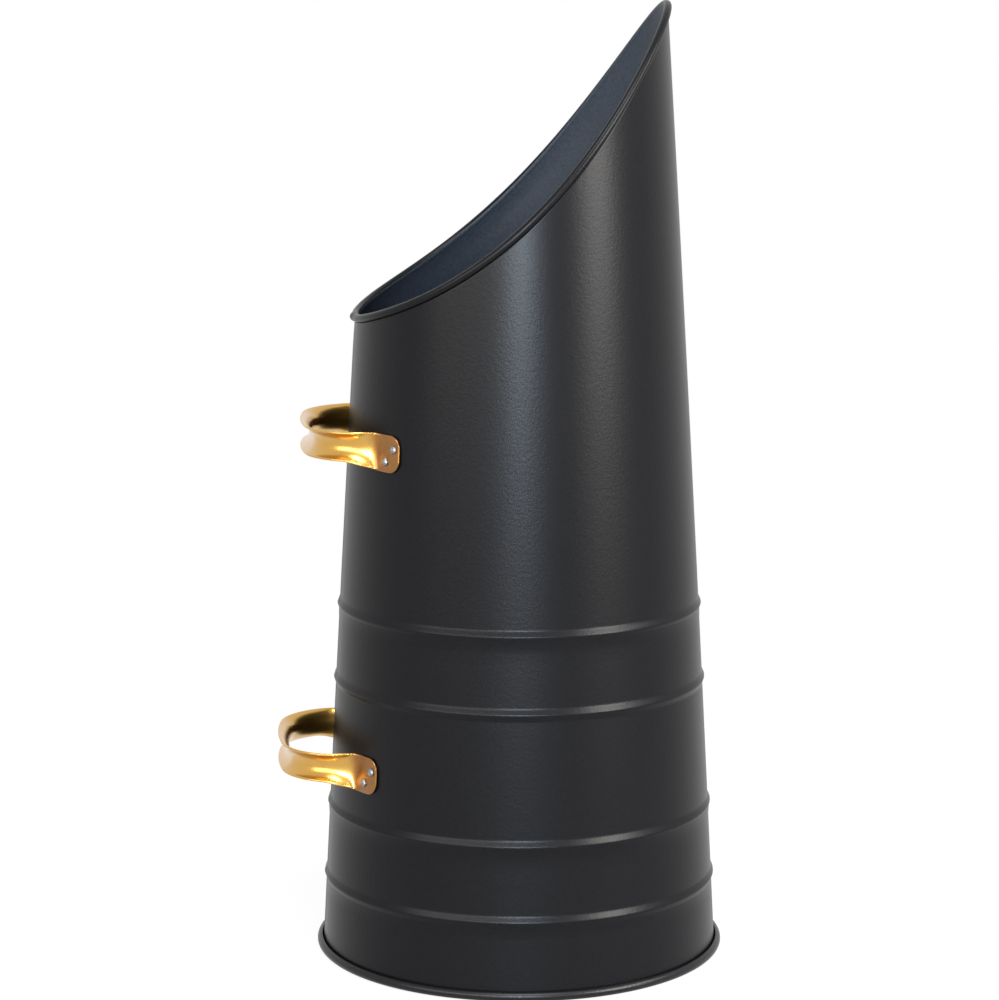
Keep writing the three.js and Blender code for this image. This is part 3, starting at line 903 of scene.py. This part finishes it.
# azimuth and elevation in degrees, width and height in metres, power in watts, and tint
LAMPS = (
    ("front_lamp", 1, 9, (0.5, 0.36), 32, "#e2f0ff"),
    ("right_lamp", 56, 17, (0.7, 0.9), 45, "#fffcf8"),
    ("side_lamp", 82, 33, (0.5, 0.45), 14, "#fffcf8"),
    ("left_lamp", -36, 15, (1.8, 0.7), 23, "#fffaf6"),
    ("top_lamp", 5, 60, (0.8, 0.8), 26, "#f8faff"),
)


def background_switch(tree):
    """1 on what the camera sees directly, in a mirror or through glass, else 0."""
    path = tree.nodes.new("ShaderNodeLightPath")
    seen = add_node(tree, "ShaderNodeMath", {"operation": "MAXIMUM"},
                    _0=path.outputs["Is Camera Ray"], _1=path.outputs["Is Glossy Ray"])
    return add_node(tree, "ShaderNodeMath", {"operation": "MAXIMUM"}, _0=seen.outputs[0],
                    _1=path.outputs["Is Transmission Ray"]).outputs[0]


def soft_box(name, azimuth, elevation, size, power, tint):
    """A studio lamp at an azimuth to the right of the camera's side and an elevation, both seen from
    the middle of the hod, facing it."""
    lamp = bpy.data.lights.new(name, "AREA")
    lamp.shape = "RECTANGLE"
    lamp.size, lamp.size_y = size
    lamp.energy = power
    lamp.color = srgb_hex(tint)
    box = bpy.data.objects.new(name, lamp)
    around = CAMERA_AZIMUTH - math.radians(azimuth)
    tilt = math.radians(elevation)
    level = LAMP_DISTANCE * math.cos(tilt)
    box.location = (AXIS_X - level * math.sin(around), -level * math.cos(around),
                    LAMP_AIM_HEIGHT + LAMP_DISTANCE * math.sin(tilt))
    box.rotation_euler = Euler((math.pi / 2 - tilt, 0.0, -around), "XYZ")
    box.visible_camera = False
    bpy.context.collection.objects.link(box)


def pale_floor():
    """A plain pale floor, matt and faintly mottled. What the camera sees of it is lifted to white
    away from the hod and close to white beside it, where the soft shadow at its foot stays."""
    material, tree, shader, place = new_material("pale_floor")
    tone = blend_colours(tree, noise(tree, place, 350 * MM, 2.0), rgba(colours().floor, 0.985),
                         rgba(colours().floor))
    tree.links.new(tone, shader.inputs["Base Color"])
    shader.inputs["Roughness"].default_value = 0.9
    shader.inputs["Specular IOR Level"].default_value = 0.1
    glow = add_node(tree, "ShaderNodeEmission", Strength=1.0)
    away = add_node(tree, "ShaderNodeVectorMath", {"operation": "LENGTH"}, _0=place)
    lift = add_node(tree, "ShaderNodeMapRange", {"interpolation_type": "SMOOTHSTEP"},
                    Value=away.outputs["Value"], From_Min=0.3, From_Max=1.2, To_Min=0.9, To_Max=1.0)
    share = add_node(tree, "ShaderNodeMath", {"operation": "MULTIPLY"}, _0=background_switch(tree),
                     _1=lift.outputs["Result"])
    blend = add_node(tree, "ShaderNodeMixShader", Fac=share.outputs[0], _1=shader.outputs[0],
                     _2=glow.outputs[0])
    output = next(n for n in tree.nodes if n.type == "OUTPUT_MATERIAL")
    tree.links.new(blend.outputs[0], output.inputs["Surface"])
    return material


class HOD_OT_stage(bpy.types.Operator):
    """Pale floor, white surroundings, soft lamps and the camera at the photograph's place"""

    bl_idname = "hod.stage"
    bl_label = "Stage"

    def execute(self, context):
        scene = context.scene
        scene.view_settings.view_transform = "Standard"
        world = bpy.data.worlds.new("studio")
        scene.world = world
        world.use_nodes = True
        tree = world.node_tree
        tree.nodes.clear()
        white = (1, 1, 1, 1)
        light = add_node(tree, "ShaderNodeBackground", Color=white, Strength=WORLD_LIGHT)
        seen = add_node(tree, "ShaderNodeBackground", Color=white, Strength=1.0)
        blend = add_node(tree, "ShaderNodeMixShader", Fac=background_switch(tree),
                         _1=light.outputs[0], _2=seen.outputs[0])
        output = tree.nodes.new("ShaderNodeOutputWorld")
        tree.links.new(blend.outputs[0], output.inputs["Surface"])

        corners = np.array([[-1, -1, 0], [1, -1, 0], [1, 1, 0], [-1, 1, 0]]) * FLOOR_SPAN
        mesh = bpy.data.meshes.new("floor")
        mesh.from_pydata((corners - [0, 0, FLOOR_DROP]).tolist(), [], [(0, 1, 2, 3)])
        floor = bpy.data.objects.new("floor", mesh)
        floor.data.materials.append(pale_floor())
        context.collection.objects.link(floor)

        for lamp in LAMPS:
            soft_box(*lamp)

        lens = bpy.data.cameras.new("camera")
        lens.sensor_fit = "HORIZONTAL"
        lens.sensor_width = SENSOR
        lens.lens = FOCAL_PIXELS / FRAME_PIXELS * SENSOR
        lens.clip_start, lens.clip_end = 0.05, 50.0
        camera = bpy.data.objects.new("camera", lens)
        camera.location = (AXIS_X - CAMERA_DISTANCE * math.sin(CAMERA_AZIMUTH),
                           -CAMERA_DISTANCE * math.cos(CAMERA_AZIMUTH), CAMERA_HEIGHT)
        camera.rotation_euler = Euler((math.pi / 2 - CAMERA_PITCH, 0.0, -CAMERA_HEADING), "XYZ")
        context.collection.objects.link(camera)
        scene.camera = camera
        return {"FINISHED"}


# ---------- sidebar and start ----------

class HOD_PT_panel(bpy.types.Panel):
    """Sizes, colours and build steps of the hod"""

    bl_label = "Coal hod"
    bl_idname = "HOD_PT_panel"
    bl_space_type = "VIEW_3D"
    bl_region_type = "UI"
    bl_category = "Coal hod"

    def draw(self, context):
        layout = self.layout
        for group in (context.scene.hod_body, context.scene.hod_handle, context.scene.hod_colours):
            column = layout.column()
            for key in group.bl_rna.properties.keys():
                if key not in ("name", "rna_type"):
                    column.prop(group, key)
        for operator in BUILD_ORDER:
            layout.operator(operator.bl_idname)


BUILD_ORDER = (HOD_OT_body, HOD_OT_base_pan, HOD_OT_handles, HOD_OT_rivets, HOD_OT_wire, HOD_OT_stage)
CLASSES = (HodBodySizes, HodHandleSizes, HodColours, *BUILD_ORDER, HOD_PT_panel)


def register():
    """Adds the classes and the scene's three groups of values."""
    for cls in CLASSES:
        bpy.utils.register_class(cls)
    bpy.types.Scene.hod_body = bpy.props.PointerProperty(type=HodBodySizes)
    bpy.types.Scene.hod_handle = bpy.props.PointerProperty(type=HodHandleSizes)
    bpy.types.Scene.hod_colours = bpy.props.PointerProperty(type=HodColours)


def unregister():
    """Takes the groups of values and the classes away again."""
    for name in ("hod_body", "hod_handle", "hod_colours"):
        delattr(bpy.types.Scene, name)
    for cls in reversed(CLASSES):
        bpy.utils.unregister_class(cls)


def main():
    """Registers the add-on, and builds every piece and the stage."""
    register()
    bpy.ops.hod.body()
    bpy.ops.hod.base_pan()
    bpy.ops.hod.handles()
    bpy.ops.hod.rivets()
    bpy.ops.hod.wire()
    bpy.ops.hod.stage()


if __name__ == "__main__":
    main()
